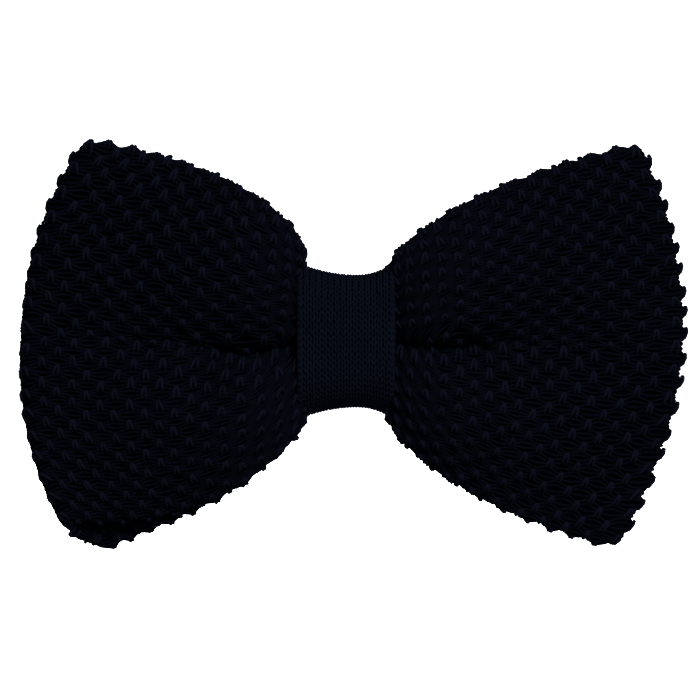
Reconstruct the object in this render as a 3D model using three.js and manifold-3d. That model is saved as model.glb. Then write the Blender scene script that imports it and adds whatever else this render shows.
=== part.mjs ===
// A pre-tied knitted bow tie on an adjustable neckband, upright as it is worn.
// Millimetres, +Z up. The bow faces -Y and its width runs along X, so "left" is -X.
// The origin is the middle of the knot band's flat back face, which rests on the collar.
// "Depth" is measured forward from that face, so a point at depth d is at y = -d.

import * as THREE from "three";
import { mergeVertices } from "three/addons/utils/BufferGeometryUtils.js";
import Module from "manifold-3d";

const wasm = await Module();
wasm.setup();

const seatGap = 0.3; // left between pieces that touch

// knot band: a jersey band round the gathered middle and the neckband
const knotWidth = 17.6;
const knotDepth = 17;
const knotWall = 1.4;
const knotEdgeHalfHeight = 14; // at its two side edges
const knotMidHalfHeight = 11.8; // where it is pulled in
const knotPullX = 2; // the pull sits a little right of the middle
const knotFrontRadius = 5;
const knotBackRadius = 3;
const seamHeight = -5; // lap seam across the back
const seamThreadRadius = 0.25;
const seamStitchPitch = 1.8;
const seamStitchRise = 0.9;

// gathered middle of the bow strip and the thread wound round it
const gatherPinch = 0.22; // how far the thread pulls the strip in, as a share of its section
const gatherSpread = 3.4; // half-length of the pulled-in stretch
const gatherThreadRadius = 0.35;
const gatherThreadGap = 0.45; // thread to the strip under it
const gatherTurns = 3;
const gatherPitch = 0.9;

// knitted loops
const knitThickness = 3;
const foldRadius = 2.6; // middle of the knit round the outer fold
const backClearance = 0.3; // back layer to the neckband
const rootFrontDepth = 12; // middle of the front layer where it leaves the knot
const puffHeight = 6;
const creaseDepth = 4.6;
const creaseHalfHeight = 0.16; // as a share of the loop's half-height
const creaseLength = 0.62; // as a share of the loop's length
const leftLoop = {
  side: -1,
  reach: 59.6,
  rootTop: 18.2,
  rootBottom: -16.6,
  tip: [46.5, 36.4],
  corner: [51.5, -32],
  topControl: [22, 34],
  bottomControl: [30, -37],
  backShift: [-5.5, -4.6],
};
const rightLoop = {
  side: 1,
  reach: 60.6,
  rootTop: 15.5,
  rootBottom: -16.5,
  tip: [53, 35.4],
  corner: [48, -37.2],
  topControl: [29, 33.5],
  bottomControl: [26, -33],
  backShift: [0, 0.6],
};

// neckband
const bandThickness = 1;
const bandWidth = 16;
const bandFlatHalf = 12; // straight stretch through the knot
const bandRadius = 46;
const bandTurn = 138; // degrees turned before the straight run at each end
const firstBendAngle = 35;
const secondBendAngle = 105;
const bendGap = 0.8; // between two stretches, so that they can swing
const claspGap = 7; // between the open hook and eye, across the middle

// clasp: hook and eye share the frame that the strap folds round
const claspThickness = 1.4;
const claspBar = 1.8;
const claspSideBar = 1.5;
const sideClearance = 0.5; // strap edge to metal
const foldInnerRadius = 1.55;
const foldClearance = 0.55; // outside of the strap's fold to the next bar
const crossBar = 1.4;
const eyeOpening = 5.5;
const eyeHalfWidth = 5;
const hookHalfWidth = 4;
const hookThickness = 1.2;
const hookThroat = 2;
const hookShank = 6.4;
const hookReturn = 5;

// slider
const sliderLength = 10;
const sliderEndBar = 1.4;
const sliderThickness = 1.2;
const sliderCornerRadius = 1.8;
const sliderBarRadius = 0.6;
const sliderOffset = 13; // from the hook's pivot
const sliderPost = 1.6;
const adjustTravel = 10; // how far the hook can be drawn towards the bow
const endFlapLength = 6;
const eyeFlapLength = 13;
const bartackLength = 1.6;
const bartackHeight = 0.5;
const bartackHalfWidth = 6;

const knitColor = 0x0a0f1c;
const jerseyColor = 0x0c1220;
const bandColor = 0x0b101d;
const threadColor = 0x10182a;
const metalColor = 0x2a2c30;

const bandDepth = knotWall + seatGap + bandThickness / 2; // middle of the strap behind the bow
const waistBackDepth = knotWall + 2 * seatGap + bandThickness;
const waistFrontDepth = knotDepth - knotWall - seatGap;
const waistHalfLength = knotWidth / 2 + seatGap;
const loopRootX = waistHalfLength + seatGap;
const backLayerDepth = bandDepth + bandThickness / 2 + backClearance + knitThickness / 2;
const foldFrontDepth = backLayerDepth + 2 * foldRadius;

// ---- helpers ----

// Merges shared corners and turns the faces outward, so that the mesh is one closed solid.
function closed(geometry) {
  const bare = geometry.index ? geometry.toNonIndexed() : geometry.clone();
  bare.deleteAttribute("normal");
  bare.deleteAttribute("uv");
  const merged = mergeVertices(bare, 1e-4);
  const position = merged.attributes.position;
  const index = merged.index.array;
  const [a, b, c] = [new THREE.Vector3(), new THREE.Vector3(), new THREE.Vector3()];
  let volume = 0;
  for (let i = 0; i < index.length; i += 3) {
    a.fromBufferAttribute(position, index[i]);
    b.fromBufferAttribute(position, index[i + 1]);
    c.fromBufferAttribute(position, index[i + 2]);
    volume += a.dot(b.cross(c));
  }
  if (volume < 0) index.reverse();
  return merged;
}

function toManifold(geometry) {
  const solid = closed(geometry);
  const mesh = new wasm.Mesh({
    numProp: 3,
    vertProperties: new Float32Array(solid.attributes.position.array),
    triVerts: new Uint32Array(solid.index.array),
  });
  return new wasm.Manifold(mesh);
}

function toGeometry(manifold) {
  const mesh = manifold.getMesh();
  const geometry = new THREE.BufferGeometry();
  geometry.setAttribute("position", new THREE.BufferAttribute(new Float32Array(mesh.vertProperties), 3));
  geometry.setIndex(new THREE.BufferAttribute(new Uint32Array(mesh.triVerts), 1));
  return geometry;
}

function united(geometries) {
  const [first, ...others] = geometries.map(toManifold);
  return toGeometry(others.reduce((whole, other) => whole.add(other), first));
}

function cut(geometry, tools) {
  return toGeometry(tools.map(toManifold).reduce((rest, tool) => rest.subtract(tool), toManifold(geometry)));
}

function namedMesh(name, geometry, color, roughness, metalness = 0) {
  const solid = closed(geometry);
  solid.computeVertexNormals();
  const mesh = new THREE.Mesh(solid, new THREE.MeshStandardMaterial({ color, roughness, metalness }));
  mesh.name = name;
  return mesh;
}

function moveVertices(geometry, place) {
  const position = geometry.attributes.position;
  const point = new THREE.Vector3();
  for (let i = 0; i < position.count; i += 1) {
    point.fromBufferAttribute(position, i);
    place(point);
    position.setXYZ(i, point.x, point.y, point.z);
  }
  return geometry;
}

// A strap of constant thickness whose middle follows a flat path, centred on z = 0.
function ribbon(path, thickness, width) {
  const near = [];
  const far = [];
  path.forEach((point, i) => {
    const before = path[Math.max(i - 1, 0)];
    const after = path[Math.min(i + 1, path.length - 1)];
    const along = after.clone().sub(before).normalize();
    const across = new THREE.Vector2(-along.y, along.x).multiplyScalar(thickness / 2);
    near.push(point.clone().add(across));
    far.unshift(point.clone().sub(across));
  });
  const shape = new THREE.Shape([...near, ...far]);
  const geometry = new THREE.ExtrudeGeometry(shape, { depth: width, bevelEnabled: false });
  return geometry.translate(0, 0, -width / 2);
}

function arcPoints(centre, radius, fromAngle, toAngle, steps) {
  return Array.from({ length: steps + 1 }, (_, i) => {
    const angle = fromAngle + ((toAngle - fromAngle) * i) / steps;
    return new THREE.Vector2(centre.x + radius * Math.cos(angle), centre.y + radius * Math.sin(angle));
  });
}

// Closed outline with a flat back: x is the depth, y the height.
function roundedSection(halfHeight, back, front, backRadius, frontRadius) {
  const quarter = Math.PI / 2;
  const shape = new THREE.Shape();
  shape.absarc(back + backRadius, halfHeight - backRadius, backRadius, 2 * quarter, quarter, true);
  shape.absarc(front - frontRadius, halfHeight - frontRadius, frontRadius, quarter, 0, true);
  shape.absarc(front - frontRadius, frontRadius - halfHeight, frontRadius, 0, -quarter, true);
  shape.absarc(back + backRadius, backRadius - halfHeight, backRadius, -quarter, -2 * quarter, true);
  return shape;
}

// Extrudes a depth-height outline along X, centred on x = 0.
function extrudeAcross(shape, length, steps) {
  const options = { depth: length, steps, bevelEnabled: false, curveSegments: 4 };
  const geometry = new THREE.ExtrudeGeometry(shape, options);
  return moveVertices(geometry, (point) => point.set(point.z - length / 2, -point.x, point.y));
}

// ---- bow ----

// The knot band's height against its height at the edges, along its width.
function knotPull(x) {
  const side = x < knotPullX ? knotWidth / 2 + knotPullX : knotWidth / 2 - knotPullX;
  const away = Math.min(Math.abs(x - knotPullX) / side, 1);
  return THREE.MathUtils.lerp(knotMidHalfHeight, knotEdgeHalfHeight, away * away) / knotEdgeHalfHeight;
}

function gatherScale(x) {
  return 1 - gatherPinch * Math.exp(-((x / gatherSpread) ** 4));
}

function pulledSection(section, length) {
  const geometry = extrudeAcross(section, length, 8);
  return moveVertices(geometry, (point) => point.setZ(point.z * knotPull(point.x)));
}

function knotBand() {
  const outer = roundedSection(knotEdgeHalfHeight, 0, knotDepth, knotBackRadius, knotFrontRadius);
  const inner = roundedSection(
    knotEdgeHalfHeight - knotWall,
    knotWall,
    knotDepth - knotWall,
    knotBackRadius - knotWall,
    knotFrontRadius - knotWall,
  );
  return cut(pulledSection(outer, knotWidth), [pulledSection(inner, knotWidth + 2)]);
}

const waistHalfHeight = knotEdgeHalfHeight - knotWall - seatGap;
const waistMidDepth = (waistBackDepth + waistFrontDepth) / 2;
const waistBackRadius = knotBackRadius - knotWall - seatGap;
const waistFrontRadius = knotFrontRadius - knotWall - seatGap;

function bowWaist() {
  const section = roundedSection(
    waistHalfHeight,
    waistBackDepth,
    waistFrontDepth,
    waistBackRadius,
    waistFrontRadius,
  );
  const geometry = extrudeAcross(section, 2 * waistHalfLength, 16);
  return moveVertices(geometry, (point) => {
    const scale = gatherScale(point.x);
    point.y = -waistMidDepth + (point.y + waistMidDepth) * scale;
    point.z *= scale * knotPull(point.x);
  });
}

// Thread wound round the gathered waist, one turn beside the next.
class WoundThread extends THREE.Curve {
  constructor() {
    super();
    const off = gatherThreadGap + gatherThreadRadius;
    const scale = gatherScale(0);
    const halfDepth = ((waistFrontDepth - waistBackDepth) / 2) * scale + off;
    const halfHeight = waistHalfHeight * scale * knotPull(0) + off;
    this.loop = roundedSection(
      halfHeight,
      waistMidDepth - halfDepth,
      waistMidDepth + halfDepth,
      waistBackRadius * scale + off,
      waistFrontRadius * scale + off,
    );
  }

  getPoint(t, target = new THREE.Vector3()) {
    const turn = t * gatherTurns;
    const onLoop = this.loop.getPointAt(turn % 1);
    return target.set((turn - gatherTurns / 2) * gatherPitch, -onLoop.x, onLoop.y);
  }
}

// Whip stitches over the knot band's lap seam, on the flat back.
class WhipStitch extends THREE.Curve {
  getPoint(t, target = new THREE.Vector3()) {
    const length = knotWidth - 2 * seamStitchPitch;
    const wave = Math.cos((t * length * 2 * Math.PI) / seamStitchPitch);
    const y = seatGap + seamThreadRadius;
    return target.set((t - 0.5) * length, y, seamHeight + wave * seamStitchRise);
  }
}

function threadAlong(path, radius, steps, sides) {
  const section = new THREE.Shape(arcPoints(new THREE.Vector2(), radius, 0, 2 * Math.PI, sides).slice(1));
  return new THREE.ExtrudeGeometry(section, { steps, extrudePath: path, bevelEnabled: false });
}

// Depth of the middle of the front layer: two lobes with a pleat between them.
function frontDepth(u, v) {
  const base = THREE.MathUtils.lerp(rootFrontDepth, foldFrontDepth, THREE.MathUtils.smoothstep(u, 0, 1));
  const lobe = 1 - 0.8 * (2 * Math.abs(v) - 1) ** 2;
  const puff = puffHeight * Math.sin(Math.PI * u ** 0.7) * lobe;
  const fade = 1 - THREE.MathUtils.smoothstep(u, creaseLength / 3, creaseLength);
  const crease = creaseDepth * fade * Math.exp(-((v / creaseHalfHeight) ** 2));
  return base + puff - crease * THREE.MathUtils.smoothstep(u, -0.1, 0.1);
}

function prepareLoop(loop) {
  const inset = foldRadius + knitThickness / 2; // the fold adds this much beyond the layers' ends
  const ending = ([x, z]) => new THREE.Vector2(x - inset, z);
  const control = ([x, z]) => new THREE.Vector2(x, z);
  const rootTop = new THREE.Vector2(loopRootX, loop.rootTop);
  const rootBottom = new THREE.Vector2(loopRootX, loop.rootBottom);
  return {
    ...loop,
    top: new THREE.QuadraticBezierCurve(rootTop, control(loop.topControl), ending(loop.tip)),
    bottom: new THREE.QuadraticBezierCurve(rootBottom, control(loop.bottomControl), ending(loop.corner)),
    bulge: loop.reach - (loop.tip[0] + loop.corner[0]) / 2,
  };
}

// A point of the folded strip. The run goes 0..1 over the front layer, 1..2 round the outer
// fold and 2..3 over the back layer; v goes -1..1 from the lower to the upper edge, and w is
// the place in the knit's thickness, -0.5..0.5.
function loopPoint(loop, run, v, w) {
  const u = run < 2 ? Math.min(run, 1) : 3 - run;
  const turn = THREE.MathUtils.clamp(run - 1, 0, 1) * Math.PI;
  const top = loop.top.getPoint(u);
  const bottom = loop.bottom.getPoint(u);
  const rise = (v + 1) / 2;
  const backShare = (1 - Math.cos(turn)) / 2;
  const bulge = loop.bulge * u * u * (1 - v * v);
  const lower = (1 - v) / 2;
  const shiftX = loop.backShift[0] * backShare * u * u * lower;
  const shiftZ = loop.backShift[1] * backShare * u * lower;
  const x = THREE.MathUtils.lerp(bottom.x, top.x, rise) + bulge + shiftX;
  const z = THREE.MathUtils.lerp(bottom.y, top.y, rise) + shiftZ;
  if (run <= 1) return new THREE.Vector3(loop.side * x, -frontDepth(u, v) - w * knitThickness, z);
  const radius = foldRadius + w * knitThickness;
  const depth = backLayerDepth + foldRadius + radius * Math.cos(turn);
  return new THREE.Vector3(loop.side * (x + radius * Math.sin(turn)), -depth, z);
}

function loopLayer(loop, fromRun, toRun) {
  const geometry = new THREE.BoxGeometry(1, 1, 1, 12, 10, 1);
  return moveVertices(geometry, (point) => {
    const run = THREE.MathUtils.lerp(fromRun, toRun, point.x + 0.5);
    point.copy(loopPoint(loop, run, point.y * 2, point.z));
  });
}

// ---- neckband ----

const bendCentre = new THREE.Vector2(bandFlatHalf, bandRadius - bandDepth);

// Points of the strap's middle between two angles of its bend, on the right-hand side.
function bandBend(fromDegrees, toDegrees, steps) {
  const start = THREE.MathUtils.degToRad(fromDegrees - 90);
  const end = THREE.MathUtils.degToRad(toDegrees - 90);
  return arcPoints(bendCentre, bandRadius, start, end, steps);
}

const bendGapDegrees = THREE.MathUtils.radToDeg(bendGap / 2 / bandRadius);
const runStart = bandBend(bandTurn, bandTurn, 1)[0];
const runAngle = THREE.MathUtils.degToRad(bandTurn);
const runAlong = new THREE.Vector2(Math.cos(runAngle), Math.sin(runAngle));
const runOutward = new THREE.Vector2(Math.sin(runAngle), -Math.cos(runAngle));

// A place on the right-hand run: how far along it, and how far outward from the strap's middle.
function onRun(along, outward) {
  return runStart.clone().addScaledVector(runAlong, along).addScaledVector(runOutward, outward);
}

const strapSlotEnd = foldInnerRadius + bandThickness + foldClearance;
const claspPlateEnd = strapSlotEnd + crossBar;
const hookCurl = (hookThroat + hookThickness) / 2; // middle of the tongue round its bend
const hookLength = claspPlateEnd + hookShank + hookCurl + hookThickness / 2;
const eyeLength = claspPlateEnd + eyeOpening + crossBar;
const runToMiddle = (runStart.x - claspGap / 2) / -runAlong.x;
const leftRun = runToMiddle - hookLength; // straight run up to the hook's pivot
const rightRun = runToMiddle - eyeLength; // straight run up to the eye's pivot

function mirrored(points) {
  return points.map((point) => new THREE.Vector2(-point.x, point.y));
}

function strap(points) {
  return ribbon(points, bandThickness, bandWidth);
}

const foldRadiusMiddle = foldInnerRadius + bandThickness / 2; // strap's middle round a clasp bar
const wrapOutward = -(bandThickness + seatGap); // middle of the flap under the main layer
const returnOutward = -2 * foldRadiusMiddle;

// Half a turn of strap on the right-hand run, from one outward place to another.
function runFold(along, fromOutward, toOutward, direction) {
  const middle = (fromOutward + toOutward) / 2;
  const radius = (fromOutward - toOutward) / 2;
  return Array.from({ length: 9 }, (_, i) => {
    const angle = (Math.PI * i) / 8;
    return onRun(along + direction * Math.abs(radius) * Math.sin(angle), middle + radius * Math.cos(angle));
  });
}

function bandCentre() {
  const right = bandBend(0, firstBendAngle - bendGapDegrees, 5);
  return strap([...mirrored(right).reverse(), ...right]);
}

function bandInner() {
  return bandBend(firstBendAngle + bendGapDegrees, secondBendAngle - bendGapDegrees, 9);
}

function bandOuter(runEnd) {
  return [...bandBend(secondBendAngle + bendGapDegrees, bandTurn, 5), onRun(runEnd, 0)];
}

const sliderPlace = leftRun - sliderOffset;
const fixedRunEnd = leftRun - adjustTravel - 2 * seatGap; // the hook never passes this place
const wrapRadius = (wrapOutward - returnOutward) / 2;
const sliderBarOutward = (wrapOutward + returnOutward) / 2;
const returnEnd = sliderPlace + wrapRadius + seatGap;

function bandLeftEnd() {
  const wrap = runFold(sliderPlace, returnOutward, wrapOutward, -1);
  return strap(mirrored([onRun(sliderPlace + wrapRadius, returnOutward), ...wrap,
    onRun(sliderPlace + endFlapLength, wrapOutward)]));
}

function bandRightEnd() {
  const fold = runFold(rightRun, 0, returnOutward, 1);
  const closing = onRun(rightRun - foldRadiusMiddle * 3, wrapOutward);
  return strap([...fold, closing, onRun(rightRun - eyeFlapLength, wrapOutward)]);
}

// Moves a piece made at its own origin, along +X with +Y outward, onto the strap's run.
function placeOnRun(geometry, side, along, outward) {
  const place = onRun(along, outward);
  const angle = side > 0 ? runAngle : Math.PI - runAngle;
  return geometry.rotateZ(angle).translate(side * place.x, place.y, 0);
}

// Dense stitches across the strap, as one low bar on its face.
function bartack(side, along, outward) {
  const bar = new THREE.BoxGeometry(bartackLength, bartackHeight, 2 * bartackHalfWidth);
  return placeOnRun(bar, side, along, outward);
}

const bartackOff = bandThickness / 2 + seatGap + bartackHeight / 2;

// ---- clasp and slider ----

const metalHalfOpening = bandWidth / 2 + sideClearance;
const metalHalfWidth = metalHalfOpening + claspSideBar;

// A flat plate whose outline is given in length and height; the thickness runs along Y.
function plate(shape, topY, thickness) {
  const options = { depth: thickness, bevelEnabled: false, curveSegments: 4 };
  return new THREE.ExtrudeGeometry(shape, options).rotateX(Math.PI / 2).translate(0, topY, 0);
}

// A block that cuts a rectangular window through a plate.
function windowTool(fromX, toX, halfHeight) {
  const block = new THREE.BoxGeometry(toX - fromX, 10 * claspThickness, 2 * halfHeight);
  return block.translate((fromX + toX) / 2, 0, 0);
}

// Tapered plate with the slot that the strap folds through, its pivot at the origin.
function claspFrame(length, endHalfWidth) {
  const back = -claspBar / 2;
  const shape = new THREE.Shape([
    new THREE.Vector2(back, -metalHalfWidth),
    new THREE.Vector2(claspPlateEnd, -metalHalfWidth),
    new THREE.Vector2(length, -endHalfWidth),
    new THREE.Vector2(length, endHalfWidth),
    new THREE.Vector2(claspPlateEnd, metalHalfWidth),
    new THREE.Vector2(back, metalHalfWidth),
  ]);
  const slot = windowTool(claspBar / 2, strapSlotEnd, metalHalfOpening);
  return cut(plate(shape, claspThickness / 2, claspThickness), [slot]);
}

function eyeGeometry() {
  const frame = claspFrame(eyeLength, eyeHalfWidth + claspSideBar);
  return cut(frame, [windowTool(claspPlateEnd, claspPlateEnd + eyeOpening, eyeHalfWidth)]);
}

function hookGeometry() {
  const plateEnd = claspPlateEnd + 2 * crossBar;
  const bendAt = claspPlateEnd + hookShank;
  const path = [
    new THREE.Vector2(claspPlateEnd, 0),
    ...arcPoints(new THREE.Vector2(bendAt, hookCurl), hookCurl, -Math.PI / 2, Math.PI / 2, 8),
    new THREE.Vector2(bendAt - hookReturn, 2 * hookCurl),
  ];
  const tongue = ribbon(path, hookThickness, 2 * hookHalfWidth);
  return united([claspFrame(plateEnd, hookHalfWidth), tongue]);
}

function sliderGeometry() {
  const half = sliderLength / 2;
  const corner = sliderCornerRadius;
  const outline = new THREE.Shape();
  outline.absarc(half - corner, corner - metalHalfWidth, corner, -Math.PI / 2, 0);
  outline.absarc(half - corner, metalHalfWidth - corner, corner, 0, Math.PI / 2);
  outline.absarc(corner - half, metalHalfWidth - corner, corner, Math.PI / 2, Math.PI);
  outline.absarc(corner - half, corner - metalHalfWidth, corner, Math.PI, 1.5 * Math.PI);
  const frameBottom = bandThickness / 2 + seatGap;
  const frame = cut(plate(outline, frameBottom + sliderThickness, sliderThickness), [
    windowTool(sliderEndBar - half, half - sliderEndBar, metalHalfOpening),
  ]);
  const postTop = frameBottom + sliderThickness / 2;
  const postBottom = sliderBarOutward - sliderBarRadius;
  const posts = [-1, 1].map((side) => {
    const post = new THREE.BoxGeometry(sliderPost, postTop - postBottom, claspSideBar * 0.8);
    return post.translate(0, (postTop + postBottom) / 2, side * (metalHalfOpening + claspSideBar / 2));
  });
  const barLength = 2 * metalHalfOpening + claspSideBar;
  const bar = new THREE.CylinderGeometry(sliderBarRadius, sliderBarRadius, barLength, 8);
  bar.rotateX(Math.PI / 2).translate(0, sliderBarOutward, 0);
  return united([frame, ...posts, bar]);
}

// ---- assembly ----

const bowTie = new THREE.Group();
const foldShare = seatGap / 2 / (Math.PI * foldRadius);

for (const loop of [leftLoop, rightLoop].map(prepareLoop)) {
  const sideName = loop.side < 0 ? "left" : "right";
  const front = loopLayer(loop, 0, 1.5 - foldShare);
  const back = loopLayer(loop, 1.5 + foldShare, 3);
  bowTie.add(namedMesh(`loop_front_${sideName}`, front, knitColor, 0.85));
  bowTie.add(namedMesh(`loop_back_${sideName}`, back, knitColor, 0.85));
}

bowTie.add(namedMesh("bow_waist", bowWaist(), knitColor, 0.85));
bowTie.add(namedMesh("gather_thread",
  threadAlong(new WoundThread(), gatherThreadRadius, 30 * gatherTurns, 5), threadColor, 0.7));
bowTie.add(namedMesh("knot_band", knotBand(), jerseyColor, 0.8));
bowTie.add(namedMesh("knot_seam_thread",
  threadAlong(new WhipStitch(), seamThreadRadius, 48, 4), threadColor, 0.7));

bowTie.add(namedMesh("band_centre", bandCentre(), bandColor, 0.75));
bowTie.add(namedMesh("band_left_inner", strap(mirrored(bandInner())), bandColor, 0.75));
bowTie.add(namedMesh("band_right_inner", strap(bandInner()), bandColor, 0.75));
bowTie.add(namedMesh("band_left_outer", strap(mirrored(bandOuter(fixedRunEnd))), bandColor, 0.75));
bowTie.add(namedMesh("band_right_outer", strap(bandOuter(rightRun - seatGap)), bandColor, 0.75));

const adjustingRun = [onRun(fixedRunEnd + seatGap, 0), onRun(leftRun - seatGap, 0)];
const hookFold = runFold(leftRun, 0, returnOutward, 1);
const returnRun = [onRun(leftRun - seatGap, returnOutward), onRun(returnEnd, returnOutward)];
bowTie.add(namedMesh("band_left_run", strap(mirrored(adjustingRun)), bandColor, 0.75));
bowTie.add(namedMesh("band_left_fold", strap(mirrored(hookFold)), bandColor, 0.75));
bowTie.add(namedMesh("band_left_return", strap(mirrored(returnRun)), bandColor, 0.75));
bowTie.add(namedMesh("band_left_end", bandLeftEnd(), bandColor, 0.75));
bowTie.add(namedMesh("band_right_end", bandRightEnd(), bandColor, 0.75));
bowTie.add(namedMesh("bartack_left",
  bartack(-1, sliderPlace + endFlapLength / 2, returnOutward - bartackOff), threadColor, 0.7));
bowTie.add(namedMesh("bartack_right",
  bartack(1, rightRun - eyeFlapLength * 0.8, bartackOff), threadColor, 0.7));

bowTie.add(namedMesh("slider", placeOnRun(sliderGeometry(), -1, sliderPlace, 0), metalColor, 0.35, 0.9));
bowTie.add(namedMesh("hook", placeOnRun(hookGeometry(), -1, leftRun, -foldRadiusMiddle),
  metalColor, 0.35, 0.9));
bowTie.add(namedMesh("eye", placeOnRun(eyeGeometry(), 1, rightRun, -foldRadiusMiddle),
  metalColor, 0.35, 0.9));

export default bowTie;
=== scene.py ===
import math

import bpy
import numpy as np
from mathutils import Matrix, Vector


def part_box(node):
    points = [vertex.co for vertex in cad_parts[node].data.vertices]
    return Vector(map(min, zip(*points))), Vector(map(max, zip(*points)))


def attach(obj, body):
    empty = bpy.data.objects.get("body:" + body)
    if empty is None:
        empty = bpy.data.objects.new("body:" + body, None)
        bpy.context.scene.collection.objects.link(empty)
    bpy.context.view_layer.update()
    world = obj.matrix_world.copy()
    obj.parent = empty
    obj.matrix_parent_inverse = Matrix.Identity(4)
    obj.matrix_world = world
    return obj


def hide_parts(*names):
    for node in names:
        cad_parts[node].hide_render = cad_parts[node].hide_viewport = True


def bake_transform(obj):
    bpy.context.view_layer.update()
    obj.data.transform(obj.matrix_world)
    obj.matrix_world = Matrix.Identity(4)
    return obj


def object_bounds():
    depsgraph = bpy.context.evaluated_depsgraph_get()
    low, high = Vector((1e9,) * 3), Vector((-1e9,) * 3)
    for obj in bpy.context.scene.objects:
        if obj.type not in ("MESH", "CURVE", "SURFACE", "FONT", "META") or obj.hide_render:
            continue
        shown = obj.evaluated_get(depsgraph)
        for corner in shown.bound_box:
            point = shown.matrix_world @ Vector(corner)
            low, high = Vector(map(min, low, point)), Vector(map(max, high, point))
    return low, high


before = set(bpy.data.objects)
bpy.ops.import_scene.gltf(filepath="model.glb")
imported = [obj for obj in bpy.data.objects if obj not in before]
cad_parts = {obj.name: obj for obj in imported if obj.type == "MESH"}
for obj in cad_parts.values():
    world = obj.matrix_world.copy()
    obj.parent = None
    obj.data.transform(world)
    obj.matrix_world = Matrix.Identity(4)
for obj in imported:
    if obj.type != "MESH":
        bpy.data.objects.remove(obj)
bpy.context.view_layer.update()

mm = 0.001
rng = np.random.default_rng(7)


def smooth(x, low=0.0, high=1.0):
    t = np.clip((x - low) / (high - low), 0, 1)
    return t * t * (3 - 2 * t)


def mix(a, b, t):
    return a + (b - a) * t


def unit(v):
    return v / np.maximum(np.linalg.norm(v, axis=-1, keepdims=True), 1e-12)


def makePiece(name, points, faces, materials, body="bow", slots=None):
    # faces are all four-sided
    faces = np.asarray(faces, np.int32)
    mesh = bpy.data.meshes.new(name)
    mesh.vertices.add(len(points))
    mesh.vertices.foreach_set("co", np.asarray(points, np.float32).ravel())
    mesh.loops.add(faces.size)
    mesh.loops.foreach_set("vertex_index", faces.ravel())
    mesh.polygons.add(len(faces))
    mesh.polygons.foreach_set("loop_start", np.arange(0, faces.size, 4, dtype=np.int32))
    mesh.polygons.foreach_set("use_smooth", np.ones(len(faces), bool))
    for material in materials:
        mesh.materials.append(material)
    if slots is not None:
        mesh.polygons.foreach_set("material_index", np.asarray(slots, np.int32))
    mesh.update(calc_edges=True)
    piece = bpy.data.objects.new(name, mesh)
    bpy.context.scene.collection.objects.link(piece)
    if body:
        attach(piece, body)
    return piece


def tubes(paths, normals, radius, sides=6):
    # paths is (strands, points, 3); every strand becomes a closed round tube of four-sided faces
    paths, normals = np.asarray(paths), np.asarray(normals)
    count, steps = paths.shape[:2]
    along = unit(np.gradient(paths, axis=1))
    up = unit(normals - (normals * along).sum(-1, keepdims=True) * along)
    across = np.cross(along, up)
    angle = np.arange(sides) * 2 * math.pi / sides
    ring = np.cos(angle)[:, None] * up[:, :, None] + np.sin(angle)[:, None] * across[:, :, None]
    thick = np.broadcast_to(np.asarray(radius, float), (count, steps))
    points = paths[:, :, None] + thick[:, :, None, None] * ring
    index = np.arange(count * steps * sides).reshape(count, steps, sides)
    turned = np.roll(index, -1, axis=2)
    walls = np.stack([index[:, :-1], turned[:, :-1], turned[:, 1:], index[:, 1:]], -1).reshape(-1, 4)
    half = sides // 2
    first = [[0, 3, 2, 1], [0, 5, 4, 3]] if half == 3 else [[0, 3, 2, 1]]
    caps = np.concatenate(
        [index[:, 0][:, first].reshape(-1, 4), index[:, -1][:, [f[::-1] for f in first]].reshape(-1, 4)]
    )
    return points.reshape(-1, 3), np.concatenate([walls, caps])


def joined(parts):
    # parts is a list of (points, faces, slot)
    points, faces, slots, start = [], [], [], 0
    for partPoints, partFaces, slot in parts:
        points.append(partPoints)
        faces.append(np.asarray(partFaces) + start)
        slots.append(np.full(len(partFaces), slot))
        start += len(partPoints)
    return np.concatenate(points), np.concatenate(faces), np.concatenate(slots)


def gridFaces(rows, columns, closeRows=False):
    index = np.arange(rows * columns).reshape(rows, columns)
    if closeRows:
        index = np.concatenate([index, index[:1]])
    a, b = index[:-1, :-1], index[1:, :-1]
    return np.stack([a, b, index[1:, 1:], index[:-1, 1:]], -1).reshape(-1, 4)


def nodeMaterial(name, color, roughness, specular=0.3, metallic=0.0):
    material = bpy.data.materials.new(name)
    material.use_nodes = True
    shader = material.node_tree.nodes["Principled BSDF"]
    shader.inputs["Base Color"].default_value = (*color, 1)
    shader.inputs["Roughness"].default_value = roughness
    shader.inputs["Specular IOR Level"].default_value = specular
    shader.inputs["Metallic"].default_value = metallic
    material.diffuse_color = (*color, 1)
    return material, shader


def addNode(material, kind, **values):
    node = material.node_tree.nodes.new(kind)
    for key, value in values.items():
        if key in node.inputs:
            node.inputs[key].default_value = value
        else:
            setattr(node, key, value)
    return node


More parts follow.
